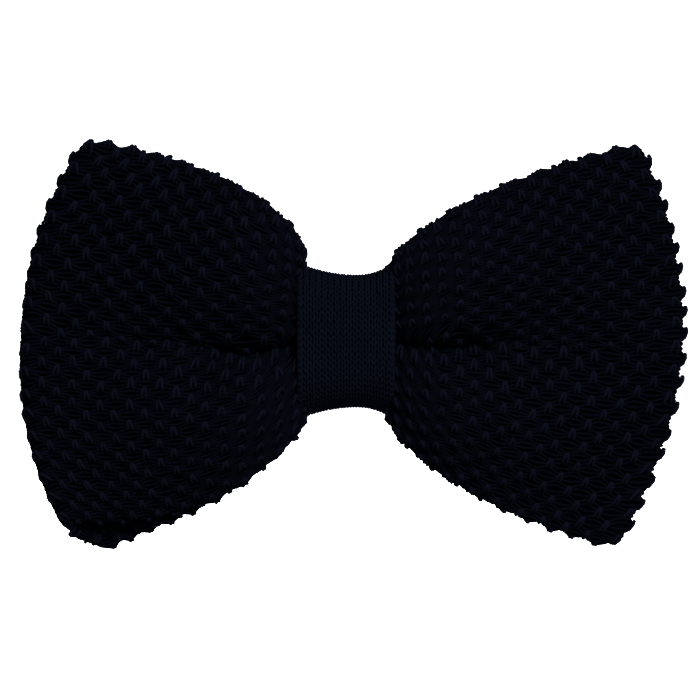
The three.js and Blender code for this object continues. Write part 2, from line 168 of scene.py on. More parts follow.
def yarnMaterial(name, dark, light, fibre):
    material, shader = nodeMaterial(name, mix(np.array(dark), np.array(light), 0.5), 0.9, 0.0)
    link = material.node_tree.links.new
    place = addNode(material, "ShaderNodeTexCoord")
    fine = addNode(material, "ShaderNodeTexNoise", Scale=fibre, Detail=4.0, Roughness=0.7)
    broad = addNode(material, "ShaderNodeTexNoise", Scale=fibre * 0.03, Detail=2.0)
    blend = addNode(material, "ShaderNodeMath", operation="MULTIPLY_ADD")
    ramp = addNode(material, "ShaderNodeValToRGB")
    ramp.color_ramp.elements[0].position, ramp.color_ramp.elements[1].position = 0.35, 0.75
    ramp.color_ramp.elements[0].color = (*dark, 1)
    ramp.color_ramp.elements[1].color = (*light, 1)
    bump = addNode(material, "ShaderNodeBump", Strength=0.5, Distance=0.00008)
    link(place.outputs["Object"], fine.inputs["Vector"])
    link(place.outputs["Object"], broad.inputs["Vector"])
    link(broad.outputs["Fac"], blend.inputs[0])
    blend.inputs[1].default_value = 0.5
    link(fine.outputs["Fac"], blend.inputs[2])
    link(blend.outputs[0], ramp.inputs["Fac"])
    link(ramp.outputs["Color"], shader.inputs["Base Color"])
    link(fine.outputs["Fac"], bump.inputs["Height"])
    link(bump.outputs["Normal"], shader.inputs["Normal"])
    return material


yarn = {
    # strands and held loops are one yarn: the strands' colours are painted shade, darker as if lying deeper,
    # and the held loops' colours are the lighter, lit copy
    "shadedStrandDark": (0.00037, 0.00050, 0.00102),
    "shadedStrandLight": (0.00101, 0.00125, 0.00245),
    "litHeldDark": (0.00068, 0.00087, 0.00172),
    "litHeldLight": (0.00176, 0.00219, 0.00417),
    # the sheet under the strands and stitches is painted shade, darker than the yarn
    "shadeSheetDark": (0.00020, 0.00030, 0.00075),
    "shadeSheetLight": (0.00042, 0.00062, 0.00150),
    "jerseyDark": (0.00059, 0.00085, 0.00162),
    "jerseyLight": (0.00147, 0.00212, 0.00386),
    "strapDark": (0.00080, 0.00090, 0.00130),
    "strapLight": (0.00210, 0.00230, 0.00310),
    "threadDark": (0.00110, 0.00120, 0.00170),
    "threadLight": (0.00300, 0.00330, 0.00420),
    "fibreScale": 5200.0,
}
fibre = yarn["fibreScale"]
# strands and their spindles take the painted-shade copy of the yarn, the held loops the lit copy
shadedStrandMaterial = yarnMaterial("navy_knit_yarn_painted_shade", yarn["shadedStrandDark"], yarn["shadedStrandLight"], fibre)
# the sheet under the strands and stitches, and the hidden waist, take this painted-shade colour
shadeSheetMaterial = yarnMaterial("navy_painted_shade_sheet", yarn["shadeSheetDark"], yarn["shadeSheetLight"], fibre)
litHeldLoopMaterial = yarnMaterial("navy_held_loops_painted_light", yarn["litHeldDark"], yarn["litHeldLight"], fibre)
jerseyMaterial = yarnMaterial("navy_jersey_yarn", yarn["jerseyDark"], yarn["jerseyLight"], fibre)
strapMaterial = yarnMaterial("black_grosgrain", yarn["strapDark"], yarn["strapLight"], fibre)
threadMaterial = yarnMaterial("black_thread", yarn["threadDark"], yarn["threadLight"], fibre)
print("materials made")


knit = {
    "halfThickness": 1.5 * mm,
    "foldRadius": 2.6 * mm,
    "backDepth": 4.5 * mm,  # middle of the back layer
    "rootDepth": 12 * mm,  # middle of the front layer at the knot
    "puff": 6 * mm,
    "creaseDepth": 6.2 * mm,
    "creaseAbove": 0.055,  # widths of the crease, as shares of the half-height
    "creaseBelow": 0.15,
    "valleyDepth": 1.6 * mm,  # soft valley past the crease's end
    "lipDrop": 0.9 * mm,  # the upper lobe hangs over the crease by this much
    "neckPull": 9 * mm,
    "neckSink": 2.5 * mm,
    "stripHalf": 34.5 * mm,  # half of the knit's flat height
    "hiddenHeight": 21 * mm,  # half-height at the knot with the rows in the crease counted
    "columnPitch": 2.75 * mm,
    "rowPitch": 4.05 * mm,
    "strandsPerRow": 6,
    "strandRadius": 0.28 * mm,
    "strandLift": 0.4 * mm,
    "gather": 0.1,  # how far strands draw together at the held loops, in rows
    "heldRadius": 0.35 * mm,
    "heldLift": 0.6 * mm,
    "bundleRadius": 0.52 * mm,
    "unevenness": 0.075,  # how far stitches wander, in stitches
    "ground": 0.8 * mm,  # dark sheet below the strands, painted shade for the holes
    "groundAtEdges": 0.3 * mm,
    "groundGrid": (64, 56),  # points along the run and across one face
    "edgeInset": 1.6 * mm,  # the strip's middle stays this far inside its outline
}

leftLoop = {
    "side": -1,
    "reach": 59.8 * mm,
    "root": (18.6 * mm, -16.6 * mm),
    "tip": (48.6 * mm, 36.0 * mm),
    "corner": (53.6 * mm, -32.2 * mm),
    "topControl": (16 * mm, 30.2 * mm),
    "bottomControl": (24 * mm, -34.2 * mm),
    "backShift": (-5.6 * mm, -5.6 * mm),
    "square": 2.3,  # the higher, the straighter the outer edge
    "crease": (-0.05, 0.62),  # its height as a share of the half-height, and its length along the loop
}
rightLoop = {
    "side": 1,
    "reach": 61.2 * mm,
    "root": (15.5 * mm, -16.3 * mm),
    "tip": (54.4 * mm, 35.0 * mm),
    "corner": (50.5 * mm, -36.7 * mm),
    "topControl": (20.5 * mm, 27.4 * mm),
    "bottomControl": (20.2 * mm, -29.2 * mm),
    "backShift": (0, 0.6 * mm),
    "square": 1.9,
    "crease": (0.06, 0.66),
}


def bezier(a, b, c, t):
    return [(1 - t) ** 2 * p + 2 * t * (1 - t) * q + t * t * r for p, q, r in zip(a, b, c)]


def frontDepth(loop, u, v):
    foldFront = knit["backDepth"] + 2 * knit["foldRadius"]
    height, length = loop["crease"]
    base = mix(knit["rootDepth"], foldFront, smooth(u))
    lobe = 1 - 0.8 * (2 * np.abs(v) - 1) ** 2
    puff = knit["puff"] * np.sin(math.pi * np.clip(u, 0, 1) ** 0.7) * lobe
    fade = 1 - smooth(u, length * 0.45, length)
    off = v - height
    wide = np.where(off > 0, knit["creaseAbove"], knit["creaseBelow"]) * (1 + 0.6 * smooth(u, 0, length))
    crease = knit["creaseDepth"] * fade * np.exp(-((off / wide) ** 2))
    valley = knit["valleyDepth"] * np.exp(-((off / 0.22) ** 2)) * np.exp(-(((u - length) / 0.16) ** 2))
    return base + puff - crease - valley


def loopMiddle(loop, run, v):
    # the middle of the folded knit: run goes 0..1 over the front, 1..2 round the fold, 2..3 over the back
    inset = knit["foldRadius"] + knit["halfThickness"]
    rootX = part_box("loop_front_right")[0][0]
    u = np.where(run < 2, np.minimum(run, 1), 3 - run)
    turn = np.clip(run - 1, 0, 1) * math.pi
    t = np.clip(u, 0, 1)
    tip = (loop["tip"][0] - inset, loop["tip"][1])
    corner = (loop["corner"][0] - inset, loop["corner"][1])
    topX, topZ = bezier((rootX, loop["root"][0]), loop["topControl"], tip, t)
    lowX, lowZ = bezier((rootX, loop["root"][1]), loop["bottomControl"], corner, t)
    topZ, lowZ = topZ - knit["edgeInset"], lowZ + knit["edgeInset"]
    rise = (v + 1) / 2
    pastCorners = loop["reach"] - (loop["tip"][0] + loop["corner"][0]) / 2
    bulge = pastCorners * t * t * (1 - np.abs(v) ** loop["square"])
    backShare, lower = (1 - np.cos(turn)) / 2, (1 - v) / 2
    neck = np.minimum(u, 0)  # below 0 the knit runs in under the knot band
    x = mix(lowX, topX, rise) + bulge + loop["backShift"][0] * backShare * t * t * lower
    x = x + neck * knit["neckPull"]
    z = mix(lowZ, topZ, rise) + loop["backShift"][1] * backShare * t**4 * lower
    z = z * (1 - 0.36 * smooth(-neck, 0, 0.035))
    height, length = loop["crease"]
    lip = np.exp(-(((v - height - 0.05) / 0.07) ** 2)) * (1 - smooth(u, length * 0.5, length))
    z = z - knit["lipDrop"] * lip * (run < 1)
    flat = knit["backDepth"] + knit["foldRadius"]
    depth = np.where(run <= 1, frontDepth(loop, u, v), flat + knit["foldRadius"] * np.cos(turn))
    depth = depth + knit["neckSink"] * neck / 0.08 * np.where(run < 1.5, 1, -0.6)
    x = x + knit["foldRadius"] * np.sin(turn)
    return np.stack([loop["side"] * x, -depth, z], -1)


def loopSkin(loop, run, v, wrap, lift):
    # a point on the knit's outer face; wrap turns it round the upper or lower edge, 0..pi
    run, v, wrap = np.broadcast_arrays(run, v, wrap)
    step = 1e-3
    middle = loopMiddle(loop, run, v)
    alongRun = unit(loopMiddle(loop, run + step, v) - loopMiddle(loop, run - step, v))
    alongV = loopMiddle(loop, run, v + step) - loopMiddle(loop, run, v - step)
    normal = unit(np.cross(alongRun, alongV)) * loop["side"]
    outward = unit(alongV - (alongV * alongRun).sum(-1, keepdims=True) * alongRun) * np.sign(v)[..., None]
    off = np.cos(wrap)[..., None] * normal + np.sin(wrap)[..., None] * outward
    return middle + (knit["halfThickness"] + np.asarray(lift))[..., None] * off, off


def fabricMap(loop, runFrom, runTo):
    # columns of the knit are counted from the outer fold inward along the middle of a lobe
    run = np.linspace(runFrom - 0.25, runTo + 0.25, 400)
    line = loopMiddle(loop, run, np.full(400, 0.5))
    length = np.concatenate([[0], np.cumsum(np.linalg.norm(np.diff(line, axis=0), axis=1))])
    atFold = np.interp(1.5, run, length)
    column = (length - atFold) / knit["columnPitch"]
    u = np.where(run < 2, np.minimum(run, 1), 3 - run)
    top = loopMiddle(loop, np.clip(run, 0, 3), np.full(400, 1.0))[:, 2]
    low = loopMiddle(loop, np.clip(run, 0, 3), np.full(400, -1.0))[:, 2]
    middle = loopMiddle(loop, np.clip(run, 0, 3), np.full(400, loop["crease"][0]))[:, 2]
    return {"run": run, "column": column, "u": u, "upper": top - middle, "lower": middle - low}


def layPoints(loop, chart, column, row, lift):
    # column and row of the knit, in stitches, to a place on the loop
    halfThickness, pitch = knit["halfThickness"], knit["rowPitch"]
    wander = loop["side"] + (column[..., :1] > 0)
    sway = np.sin(0.83 * column + 1.31 * row + wander) + 0.7 * np.sin(1.9 * column - 1.13 * row + 2 * wander)
    drift = np.sin(1.27 * column - 0.71 * row + 3 * wander) + 0.7 * np.sin(0.6 * column + 2.3 * row + wander)
    column = column + 0.5 * knit["unevenness"] * sway
    row = row + 0.5 * knit["unevenness"] * drift
    run = np.interp(column, chart["column"], chart["run"])
    u = np.interp(column, chart["column"], chart["u"])
    sign = np.where(row >= 0, 1.0, -1.0)
    height = np.where(
        row >= 0,
        np.interp(column, chart["column"], chart["upper"]),
        np.interp(column, chart["column"], chart["lower"]),
    )
    creaseHeight, creaseLength = loop["crease"]
    hidden = (1 - smooth(u, 0.05, creaseLength)) * (run < 1.5)
    drawn = mix(height, np.maximum(height, knit["hiddenHeight"]), hidden)
    edge = chart["edge"]
    distance = np.abs(row) * pitch
    share = 1 - (1 - distance / edge) * drawn / height
    beyond = np.clip(distance - edge, 0, None)
    wrap = np.clip(beyond / halfThickness, 0, math.pi)
    inner = np.clip(beyond - math.pi * halfThickness, 0, None)
    share = np.minimum(share, 1) - inner / height
    v = np.where(sign > 0, mix(creaseHeight, 1, share), mix(creaseHeight, -1, share))
    points, normals = loopSkin(loop, run, v, wrap, lift)
    return points, normals, share >= 0


def knitLayer(loop, runFrom, runTo, steps, innerRows):
    chart = fabricMap(loop, runFrom, runTo)
    rows = round((knit["stripHalf"] + knit["halfThickness"] * math.pi / 2) / knit["rowPitch"])
    chart["edge"] = rows * knit["rowPitch"] - knit["halfThickness"] * math.pi / 2
    lastRow = (chart["edge"] + math.pi * knit["halfThickness"]) / knit["rowPitch"] + innerRows
    first, end = np.interp((runFrom, runTo), chart["run"], chart["column"])
    columns = np.linspace(first, end, int((end - first) * steps) + 1)
    perRow = knit["strandsPerRow"]
    last = math.ceil(lastRow * perRow)
    row = (np.arange(-last, last)[:, None] + 0.5) / perRow
    wave = rng.normal(0, 0.012, (2 * last, len(columns[::7])))
    wobble = np.stack([np.interp(columns, columns[::7], line) for line in wave])
    lattice = np.cos(math.pi * columns) * np.cos(2 * math.pi * row)
    pull = knit["gather"] * np.cos(math.pi * columns) * np.sin(2 * math.pi * row)
    lift = knit["strandLift"] * lattice + rng.normal(0, 0.03 * mm, lattice.shape)
    points, normals, shown = layPoints(loop, chart, columns[None, :], row - pull + wobble, lift)
    parts = []
    for strand in range(2 * last):
        keep = shown[strand]
        if keep.sum() > 3:
            strandTube = tubes(points[strand][keep][None], normals[strand][keep][None], knit["strandRadius"])
            parts.append((*strandTube, 0))
    # held loops stand over the gathered strands, half a row apart from column to column
    legX = np.array([-0.20, -0.17, -0.12, -0.05, 0.05, 0.12, 0.17, 0.20])
    legY = np.array([-0.33, -0.18, 0.04, 0.20, 0.20, 0.04, -0.18, -0.33])
    legLift = np.array([-0.5, 0.5, 1.0, 0.9, 0.9, 1.0, 0.5, -0.5]) * knit["heldLift"]
    column = np.arange(math.ceil(max(first, 1 if runFrom > 1 else first)), math.floor(end) + 1)
    row = np.arange(-math.floor(lastRow), math.floor(lastRow) + 1)
    column, row = [grid.ravel()[:, None] for grid in np.meshgrid(column, row)]
    row = row + 0.5 * (column % 2)
    jitter = rng.normal(0, 0.05, (2, *column.shape))
    tilt = rng.normal(0, 0.14, column.shape)
    points, normals, shown = layPoints(
        loop, chart, column + legX * (1 + jitter[0]) + tilt * legY, row + legY + jitter[1],
        np.broadcast_to(legLift, (len(row), 8)))
    keep = shown.all(axis=1) & (np.abs(row[:, 0]) < lastRow)
    thick = knit["heldRadius"] * np.array([0.6, 0.9, 1, 1, 1, 1, 0.9, 0.6])
    thick = thick * rng.normal(1, 0.07, (keep.sum(), 1))
    parts.append((*tubes(points[keep], normals[keep], thick), 1))
    # the strands that each held loop gathers, as one short spindle under it
    spindle = np.linspace(-0.36, 0.36, 6)
    points, normals, shown = layPoints(loop, chart, column + spindle, row + 0.06 * spindle, 0.0)
    keep = shown.all(axis=1) & (np.abs(row[:, 0]) < lastRow)
    thick = knit["bundleRadius"] * np.array([0.35, 0.75, 1, 1, 0.75, 0.35])
    parts.append((*tubes(points[keep], normals[keep], thick), 0))
    # the dark sheet of painted shade under the strands
    parts.append((*shadeSheetTube(loop, runFrom, runTo), 2))
    return joined(parts)


def shadeSheetTube(loop, runFrom, runTo):
    # a dark sheet of painted shade under the strands, seen through the holes: a closed tube round the layer
    along, wide = knit["groundGrid"]
    runs = np.linspace(runFrom, runTo, along)
    face = np.linspace(-1, 1, wide)
    turn = np.linspace(0, math.pi, 6)[1:-1]
    v = np.concatenate([face, np.ones(4), face[::-1], -np.ones(4)])
    wrap = np.concatenate([np.zeros(wide), turn, np.full(wide, math.pi), turn[::-1]])
    nearEdge = np.clip((np.abs(v) - 0.88) / 0.12, 0, 1)[:, None]
    nearFold = np.exp(-(((runs - 1.5) / 0.32) ** 4))[None, :]
    sunk = mix(knit["ground"], knit["groundAtEdges"], np.maximum(nearEdge, nearFold))
    points, _ = loopSkin(loop, runs[None, :], v[:, None], wrap[:, None], -sunk)
    faces = gridFaces(len(v), along, closeRows=True)
    return points.reshape(-1, 3), faces


# steps is points to a column along each strand; innerRows is knit kept on the hidden face
layers = {
    "front": {"run": (-0.08, 1.52), "steps": 4, "innerRows": 0.25},
    "back": {"run": (1.52, 3.06), "steps": 3, "innerRows": 2.0},
}
for loop in (leftLoop, rightLoop):
    sideName = "left" if loop["side"] < 0 else "right"
    for layer, how in layers.items():
        points, faces, slots = knitLayer(loop, *how["run"], how["steps"], how["innerRows"])
        # slots: strands in painted shade, held loops in the lit copy, and the dark sheet of painted shade
        # under them
        piece = makePiece(f"knit_{layer}_{sideName}", points, faces,
                          [shadedStrandMaterial, litHeldLoopMaterial, shadeSheetMaterial], slots=slots)
        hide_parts(f"loop_{layer}_{sideName}")
        print(piece.name, len(faces), "faces")


knot = {
    "halfWidth": 8.8 * mm,
    "depth": 17 * mm,
    "halfHeight": 14.3 * mm,
    "topRadius": 8 * mm,
    "bottomRadius": 10 * mm,
    "backRadius": 3 * mm,
    "pinchX": 2 * mm,
    "pinchSides": (10.8 * mm, 6.8 * mm),
    "pinch": 11.8 / 14,
    "curl": 0.75 * mm,  # radius of the rolled side edges
    "wales": 17,
    "courses": 66,
    "legRadius": 0.235 * mm,
    "legLift": 0.2 * mm,
    "thickness": 1.3 * mm,
    "seamHeight": -5 * mm,
    "outlineSteps": 1320,
    "baseSteps": 180,  # round the dark base under the stitches, a sheet of painted shade
}


def knotPull(x):
    side = np.where(x < knot["pinchX"], *knot["pinchSides"])
    away = np.minimum(np.abs(x - knot["pinchX"]) / side, 1)
    return knot["pinch"] + (1 - knot["pinch"]) * away**2


def knotOutline(count):
    # even steps round the band's section, starting at the seam on the back; depth, height and normal
    depth, half = knot["depth"], knot["halfHeight"]
    corners = (
        (knot["backRadius"], half - knot["backRadius"], knot["backRadius"], 180),
        (depth - knot["topRadius"], half - knot["topRadius"], knot["topRadius"], 90),
        (depth - knot["bottomRadius"], knot["bottomRadius"] - half, knot["bottomRadius"], 0),
        (knot["backRadius"], knot["backRadius"] - half, knot["backRadius"], -90),
    )
    points, normals = [(0, knot["seamHeight"])], [(-1, 0)]
    for centreDepth, centreHeight, radius, start in corners:
        for angle in np.radians(np.linspace(start, start - 90, 24)):
            normals.append((math.cos(angle), math.sin(angle)))
            points.append((centreDepth + radius * math.cos(angle), centreHeight + radius * math.sin(angle)))
    points, normals = np.array(points + points[:1]), np.array(normals + normals[:1])
    length = np.concatenate([[0], np.cumsum(np.linalg.norm(np.diff(points, axis=0), axis=1))])
    place = (np.arange(count) / count) * length[-1]
    pick = lambda values: np.stack([np.interp(place, length, values[:, i]) for i in (0, 1)], -1)
    return pick(points), unit(pick(normals))


def knotPlace(share, across, lift):
    # share goes once round the band, across runs from side to side over the rolled edges
    count = knot["outlineSteps"]
    outline, outlineNormal = knotOutline(count)
    index = np.mod(np.asarray(share) * count, count)
    low = np.floor(index).astype(int) % count
    part = (index - np.floor(index))[..., None]
    at = mix(outline[low], outline[(low + 1) % count], part)
    normal = unit(mix(outlineNormal[low], outlineNormal[(low + 1) % count], part))
    flat = knot["halfWidth"] - knot["curl"]
    beyond = np.clip((np.abs(across) - flat) / knot["curl"], 0, math.pi)
    side = np.sign(across)
    radius = knot["curl"] + lift
    x = side * (np.minimum(np.abs(across), flat) + radius * np.sin(beyond))
    off = -knot["curl"] + radius * np.cos(beyond)
    flatShare = np.cos(beyond)
    out = np.broadcast_arrays(side * np.sin(beyond), -normal[..., 0] * flatShare, normal[..., 1] * flatShare)
    at = at + normal * off[..., None]
    return np.stack(np.broadcast_arrays(x, -at[..., 0], at[..., 1] * knotPull(x)), -1), np.stack(out, -1)


knotSkin = knot["legRadius"] + knot["legLift"]
stitchAcross = (2 * knot["halfWidth"] + 0.9 * mm) / knot["wales"]
courses, wales = np.meshgrid(np.arange(knot["courses"]), np.arange(knot["wales"]), indexing="ij")
legs, legNormals = [], []
for lean in (-1, 1):
    # two slanted legs make each V of the jersey
    along = np.array([-0.72, -0.42, 0.0, 0.42, 0.74])
    aside = lean * np.array([0.05, 0.15, 0.27, 0.36, 0.42])
    rise = np.array([-1.7, 0.2, 1.0, 0.5, -1.2]) * knot["legLift"]
    wobble = rng.normal(0, 0.03, courses.shape + (2,))
    share = (courses[..., None] + along + wobble[..., :1]) / knot["courses"]
    across = (wales[..., None] - (knot["wales"] - 1) / 2 + aside + wobble[..., 1:]) * stitchAcross
    points, normals = knotPlace(share, across, rise - knotSkin)
    legs.append(points.reshape(-1, 5, 3))
    legNormals.append(normals.reshape(-1, 5, 3))
legTubes = tubes(np.concatenate(legs), np.concatenate(legNormals),
                 knot["legRadius"] * np.array([0.7, 0.95, 1.1, 1, 0.7]))
edge = knot["halfWidth"] - knot["curl"] + knot["curl"] * math.pi
around = knot["baseSteps"]
shareRing = np.arange(around) / around
acrossLine = np.linspace(-edge, edge, 40)
# the band's base is a dark sheet of painted shade under the jersey stitches
outer, _ = knotPlace(shareRing[None, :], acrossLine[:, None], np.full((40, around), -knotSkin - 0.1 * mm))
inner, _ = knotPlace(shareRing[None, :], np.linspace(edge - 2.4 * mm, 2.4 * mm - edge, 20)[:, None] * 0.96,
                     np.full((20, around), -knot["thickness"]))
skin = np.concatenate([outer, inner]).transpose(1, 0, 2)
index = np.arange(around * 60).reshape(around, 60)
first, last = index[:, 0], index[:, -1]
closing = np.stack([last, np.roll(last, -1), np.roll(first, -1), first], -1)
bandBase = (skin.reshape(-1, 3), np.concatenate([gridFaces(around, 60, closeRows=True), closing]))
points, faces, slots = joined([(*legTubes, 0), (*bandBase, 1)])
knotBand = makePiece("knot_jersey", points, faces, [jerseyMaterial, shadeSheetMaterial], slots=slots)
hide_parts("knot_band")
print(knotBand.name, len(faces), "faces")

# the lapped ends of the jersey are whip stitched over the flat back
seam = {"stitches": 8, "radius": 0.2 * mm, "rise": 0.95 * mm, "face": 0.12 * mm}
step = (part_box("knot_seam_thread")[1][0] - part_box("knot_seam_thread")[0][0]) / seam["stitches"]
t = np.linspace(0, 1, 9)
paths = []
for number in range(seam["stitches"]):
    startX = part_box("knot_seam_thread")[0][0] + number * step
    x = startX + step * (0.15 + 0.7 * t)
    z = knot["seamHeight"] + seam["rise"] * (2 * t - 1)
    y = seam["face"] + 0.45 * mm * np.sin(math.pi * t) - 0.35 * mm * (2 * t - 1) ** 8
    paths.append(np.stack([x, y, z], -1))
points, faces = tubes(paths, np.broadcast_to([0.0, 1.0, 0.0], (len(paths), 9, 3)), seam["radius"])
seamThread = makePiece("seam_thread", points, faces, [threadMaterial])
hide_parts("knot_seam_thread")

waist = {"halfLength": 9.05 * mm, "near": 3.2 * mm, "far": 14.9 * mm, "halfHeight": 11.8 * mm,
         "around": 176, "boxiness": 0.7, "pinch": 0.18, "spread": 3.4 * mm,
         "folds": 22, "foldDepth": 0.45 * mm}


def boxy(angle):
    # a circle drawn out toward a rounded rectangle
    return [np.sign(side) * np.abs(side) ** waist["boxiness"] for side in (np.cos(angle), np.sin(angle))]


def waistRing(x, angle, shrink):
    grip = np.exp(-((x / waist["spread"]) ** 4))
    bulk = boxy(angle)
    middle, half = (waist["near"] + waist["far"]) / 2, (waist["far"] - waist["near"]) / 2
    high = waist["halfHeight"] * knotPull(x) * (1 - waist["pinch"] * grip)
    y, z = -middle + (half - shrink) * bulk[0], (high - shrink) * bulk[1]
    return np.stack(np.broadcast_arrays(x, y, z), -1)


x = np.linspace(-waist["halfLength"], waist["halfLength"], 41)[:, None]
around = waist["around"]
angle = np.linspace(0, 2 * math.pi, around, endpoint=False)[None, :]
foldPhase = angle * waist["folds"] / 2 + 0.4 * np.sin(3 * angle)
ripple = waist["foldDepth"] * (1 - np.abs(np.sin(foldPhase)) ** 0.6)
sleeve = waistRing(x, angle, ripple)
middles = [np.array([side * waist["halfLength"], -9.15 * mm, 0]) for side in (-1, 1)]
rings = np.concatenate([mix(middles[0], sleeve[:1], 0.02), sleeve, mix(middles[1], sleeve[-1:], 0.02)])
faces = gridFaces(around, len(rings), closeRows=True)
points = rings.transpose(1, 0, 2).reshape(-1, 3)
index = np.arange(around * len(rings)).reshape(around, len(rings))
for end, turn in ((0, 1), (-1, -1)):
    ring = index[:, end][::turn]
    strip = [[ring[i], ring[i + 1], ring[around - 2 - i], ring[around - 1 - i]]
             for i in range(around // 2 - 1)]
    faces = np.concatenate([faces, strip])
# the hidden waist is coloured with the dark painted-shade sheet's material
knitWaist = makePiece("knit_waist", points, faces, [shadeSheetMaterial])
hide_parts("bow_waist")

thread = {"turns": 3, "pitch": 0.9 * mm, "ply": 0.18 * mm,
          "near": 3.5 * mm, "far": 14.6 * mm, "half": 8.75 * mm}
turn = np.linspace(0, thread["turns"], thread["turns"] * 120)
spin = turn * 2 * math.pi
middle, half = (thread["near"] + thread["far"]) / 2, (thread["far"] - thread["near"]) / 2
wound = boxy(spin)
path = np.stack([(turn - thread["turns"] / 2) * thread["pitch"], -middle + half * wound[0],
                 thread["half"] * wound[1]], -1)
outward = unit(np.stack([0 * spin, wound[0] / half, wound[1] / thread["half"]], -1))
plies = []
for start in (0, math.pi):
    ply = spin * 18 + start
    offset = np.cos(ply)[:, None] * outward + np.sin(ply)[:, None] * np.array([1.0, 0, 0])
    plies.append(path + thread["ply"] * 0.9 * offset)
points, faces = tubes(plies, np.stack([outward, outward]), thread["ply"])
gather = makePiece("gather_thread_plied", points, faces, [threadMaterial])
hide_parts("gather_thread")
print("knot, waist and threads made")

strap = {
    "width": 16 * mm,
    "thickness": 1.0 * mm,
    "flatHalf": 12 * mm,
    "bendRadius": 46 * mm,
    "depth": 2.2 * mm,
    "turn": 138.0,
    "leftRun": 39.756 * mm,
    "rightRun": 41.456 * mm,
    "foldRadius": 2.05 * mm,  # middle of the strap round a clasp bar
    "flapOutward": -1.3 * mm,
    "sliderPlace": 26.756 * mm,
    "returnEnd": 28.456 * mm,
    "flapLength": 6 * mm,
    "eyeFlapLength": 13 * mm,
    "rib": 0.62 * mm,
}
runDirection = np.array([math.cos(math.radians(strap["turn"])), math.sin(math.radians(strap["turn"]))])
runOutward = np.array([runDirection[1], -runDirection[0]])


def bendPlace(degrees):
    angle = np.radians(np.asarray(degrees, float))
    centreY = strap["bendRadius"] - strap["depth"]
    return np.stack([strap["flatHalf"] + strap["bendRadius"] * np.sin(angle),
                     centreY - strap["bendRadius"] * np.cos(angle)], -1)


def runPlace(along, outward=0.0):
    along, outward = np.broadcast_arrays(along, outward)
    return bendPlace(strap["turn"]) + along[..., None] * runDirection + outward[..., None] * runOutward


def outToClasp(length):
    # the end of the round part, then straight on, then round the clasp's bar
    return [bendPlace(np.linspace(124, 138, 12)), runPlace(np.linspace(2 * mm, length - mm, 12)),
            halfTurn(length, 0.0, -2 * strap["foldRadius"], 1)]


def halfTurn(along, fromOutward, toOutward, direction):
    angle = np.linspace(0, math.pi, 17)
    radius = (fromOutward - toOutward) / 2
    outward = (fromOutward + toOutward) / 2 + radius * np.cos(angle)
    return runPlace(along + direction * abs(radius) * np.sin(angle), outward)


def strapPiece(name, side, line, nodes, body=None, blend=None):
    # the ribbed strap along a line of (x, y) points on the right-hand side, mirrored for the left
    line = np.asarray(line)
    length = np.concatenate([[0], np.cumsum(np.linalg.norm(np.diff(line, axis=0), axis=1))])
    ribs = max(4, round(length[-1] / strap["rib"]))
    place = np.linspace(0, length[-1], ribs * 4 + 1)
    at = np.stack([np.interp(place, length, line[:, i]) for i in (0, 1)], -1) * [side, 1]
    along = unit(np.gradient(at, axis=0))
    normal = np.stack([along[:, 1], -along[:, 0]], -1) * side
    rib = np.abs(np.sin(np.arange(ribs * 4 + 1) * math.pi / 4)) ** 0.8
    half, thick = strap["width"] / 2, strap["thickness"] / 2
    face = np.array([-1, -0.985, -0.955, -0.9, -0.5, 0, 0.5, 0.9, 0.955, 0.985, 1.0])
    selvedge = np.array([0.55, 0.95, 1.0, 0.9, 0.9, 0.9, 0.9, 0.9, 1.0, 0.95, 0.55])
    height = np.concatenate([face, face[::-1]])
    off = np.concatenate([selvedge, -selvedge[::-1]])
    ribbed = (0.74 + 0.26 * rib)[:, None] * off[None, :] * thick
    tall = height[None, :] * (half - 0.18 * mm * (1 - rib)[:, None])
    points = np.concatenate([at[:, None] + normal[:, None] * ribbed[..., None], tall[..., None]], -1)
    ring = len(height)
    faces = gridFaces(ring, len(at), closeRows=True)
    index = np.arange(ring * len(at)).reshape(ring, len(at))
    caps = [[index[i, end], index[i + 1, end], index[ring - 2 - i, end], index[ring - 1 - i, end]]
            for end in (0, -1) for i in range(ring // 2 - 1)]
    points = points.transpose(1, 0, 2).reshape(-1, 3)
    piece = makePiece(name, points, np.concatenate([faces, caps]), [strapMaterial], body=body)
    if blend:
        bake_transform(piece)
    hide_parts(*nodes)
    return piece


centreHalf = bendPlace(np.linspace(0, 18, 12))
strapPiece("strap_middle", 1, np.concatenate([centreHalf[::-1] * [-1, 1], centreHalf]), ["band_centre"],
           body="bow")
for side, name in ((-1, "left"), (1, "right")):
    strapPiece(f"strap_{name}_front", side, bendPlace(np.linspace(18, 70, 40)), [f"band_{name}_inner"],
               blend=("bow", f"{name}_inner", bendPlace(20), bendPlace(50)))
    strapPiece(f"strap_{name}_back", side, bendPlace(np.linspace(70, 124, 40)), [f"band_{name}_outer"],
               blend=(f"{name}_inner", f"{name}_outer", bendPlace(88), bendPlace(122)))

# left end: out to the hook, round its bar, back to the slider and round the slider's bar
leftRun, returnOutward = strap["leftRun"], -2 * strap["foldRadius"]
strapPiece("strap_left_run", -1, np.concatenate(outToClasp(leftRun)),
           ["band_left_run", "band_left_fold"],
           blend=("left_outer", "hook_end", runPlace(0.0), runPlace(leftRun - 3 * mm)))
comingBack = runPlace(np.linspace(leftRun, strap["returnEnd"], 10), returnOutward)
strapPiece("strap_left_return", -1, comingBack, ["band_left_return"],
           blend=("hook_end", "slider", comingBack[1], comingBack[-1]))
sliderBar = halfTurn(strap["sliderPlace"], returnOutward, strap["flapOutward"], -1)
flap = runPlace(strap["sliderPlace"] + np.linspace(mm, strap["flapLength"], 5), strap["flapOutward"])
wrapStart = runPlace(np.array([strap["returnEnd"]]), returnOutward)
strapPiece("strap_left_end", -1, np.concatenate([wrapStart, sliderBar, flap]), ["band_left_end"],
           body="slider")

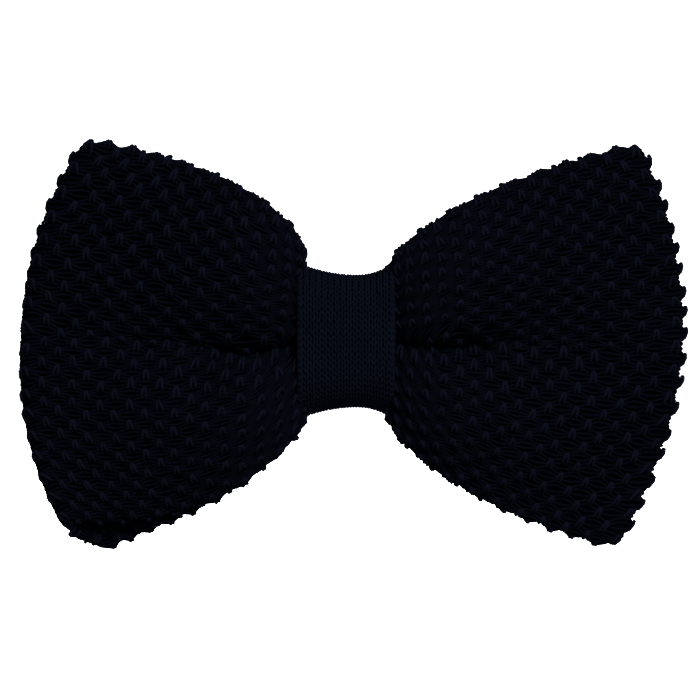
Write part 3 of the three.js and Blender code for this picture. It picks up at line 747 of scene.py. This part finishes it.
# right end: out to the eye, round its bar and back under itself
rightRun = strap["rightRun"]
closingIn = runPlace(np.array([rightRun - 3 * strap["foldRadius"], rightRun - strap["eyeFlapLength"]]),
                     strap["flapOutward"])
strapPiece("strap_right_end", 1, np.concatenate([*outToClasp(rightRun), closingIn]), ["band_right_end"],
           body="right_outer")
print("neckband made")

# bartacks: a close zigzag of thread over two runners, across the strap
bartack = {"halfHeight": 6 * mm, "halfLength": 0.75 * mm, "pitch": 0.34 * mm, "radius": 0.12 * mm}


def bartackPiece(name, side, along, outward, body, nodeName, away):
    count = int(2 * bartack["halfHeight"] / bartack["pitch"])
    steps = np.arange(count * 4 + 1)
    swing = bartack["halfLength"] * np.cos(steps * math.pi / 4)
    lift = 0.16 * mm * (1 - np.abs(np.cos(steps * math.pi / 4)) ** 6) * away
    flat = runPlace(along + swing, outward + lift)
    height = np.linspace(-bartack["halfHeight"], bartack["halfHeight"], len(steps))
    zigzag = np.concatenate([flat * [side, 1], height[:, None]], -1)
    runners = []
    for shift in (-0.3 * mm, 0.3 * mm):
        line = runPlace(np.full(len(steps), along + shift), outward)
        runners.append(np.concatenate([line * [side, 1], height[:, None] * 0.98], -1))
    paths = np.stack([zigzag, *runners])
    normal = np.broadcast_to([runOutward[0] * side * away, runOutward[1] * away, 0.0], paths.shape)
    points, faces = tubes(paths, normal, bartack["radius"])
    piece = makePiece(name, points, faces, [threadMaterial], body=body)
    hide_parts(nodeName)


bartackPiece("bartack_stitches_left", -1, strap["sliderPlace"] + 3 * mm, returnOutward - 0.6 * mm, "slider",
             "bartack_left", -1)
bartackPiece("bartack_stitches_right", 1, rightRun - 0.8 * strap["eyeFlapLength"], 0.6 * mm, "right_outer",
             "bartack_right", 1)

metal = {"color": (0.006, 0.0063, 0.0075), "roughness": 0.38, "bevel": 0.22 * mm}
metalMaterial, metalShader = nodeMaterial("satin_black_enamel", metal["color"], metal["roughness"], 0.2)
metalShader.inputs["Coat Weight"].default_value = 0.1
metalShader.inputs["Coat Roughness"].default_value = 0.25
place = addNode(metalMaterial, "ShaderNodeTexCoord")
speckle = addNode(metalMaterial, "ShaderNodeTexNoise", Scale=900.0, Detail=3.0)
dimple = addNode(metalMaterial, "ShaderNodeBump", Strength=0.25, Distance=0.00004)
metalMaterial.node_tree.links.new(place.outputs["Object"], speckle.inputs["Vector"])
metalMaterial.node_tree.links.new(speckle.outputs["Fac"], dimple.inputs["Height"])
metalMaterial.node_tree.links.new(dimple.outputs["Normal"], metalShader.inputs["Normal"])
for name in ("slider", "hook", "eye"):
    fitting = bpy.data.objects[name]
    fitting.data.materials.clear()
    fitting.data.materials.append(metalMaterial)
    bevel = fitting.modifiers.new("rounded edges", "BEVEL")
    bevel.width, bevel.segments, bevel.limit_method = metal["bevel"], 3, "ANGLE"
    bevel.angle_limit = math.radians(40)
print("clasp and slider finished")


studio = {
    "floorColor": (0.6, 0.6, 0.6),
    "world": 1.8,
    "gamma": 0.6,
    "keyPower": 12.0,
    "fillPower": 1.0,
    "backPower": 12.0,
    "lens": 120.0,
    "aim": (0.7 * mm, 0, -1.6 * mm),
    "shownWidth": 127 * mm,
}
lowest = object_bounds()[0][2]
bpy.ops.mesh.primitive_circle_add(vertices=96, radius=6, fill_type="NGON",
                                  location=(0, 0, lowest - 0.3 * mm))
floor = bpy.context.object
floor.name = "floor"
floorMaterial, _ = nodeMaterial("pale_floor", studio["floorColor"], 0.9, 0.1)
floor.data.materials.append(floorMaterial)

scene = bpy.context.scene
scene.view_settings.view_transform = "Standard"
scene.view_settings.gamma = studio["gamma"]
world = bpy.data.worlds.new("studio")
scene.world = world
world.use_nodes = True
world.node_tree.nodes["Background"].inputs["Color"].default_value = (1, 1, 1, 1)
world.node_tree.nodes["Background"].inputs["Strength"].default_value = studio["world"]


def areaLight(name, place, size, power, spread=180):
    data = bpy.data.lights.new(name, "AREA")
    data.size, data.energy, data.spread = size, power, math.radians(spread)
    light = bpy.data.objects.new(name, data)
    scene.collection.objects.link(light)
    light.location = place
    light.rotation_euler = (Vector((0, 0, 0)) - Vector(place)).to_track_quat("-Z", "Y").to_euler()


areaLight("key_light", (0.30, -0.94, 0.55), 0.35, studio["keyPower"], 45)
areaLight("fill_light", (-0.8, -0.6, 0.3), 0.6, studio["fillPower"])
areaLight("back_light", (-0.35, 0.95, 0.6), 0.5, studio["backPower"], 45)

cameraData = bpy.data.cameras.new("camera")
cameraData.lens = studio["lens"]
camera = bpy.data.objects.new("camera", cameraData)
scene.collection.objects.link(camera)
away = studio["shownWidth"] * studio["lens"] / cameraData.sensor_width
camera.location = (studio["aim"][0], -0.008 - away, studio["aim"][2])
camera.rotation_euler = (math.pi / 2, 0, 0)
scene.camera = camera
print("floor, lights and camera placed")
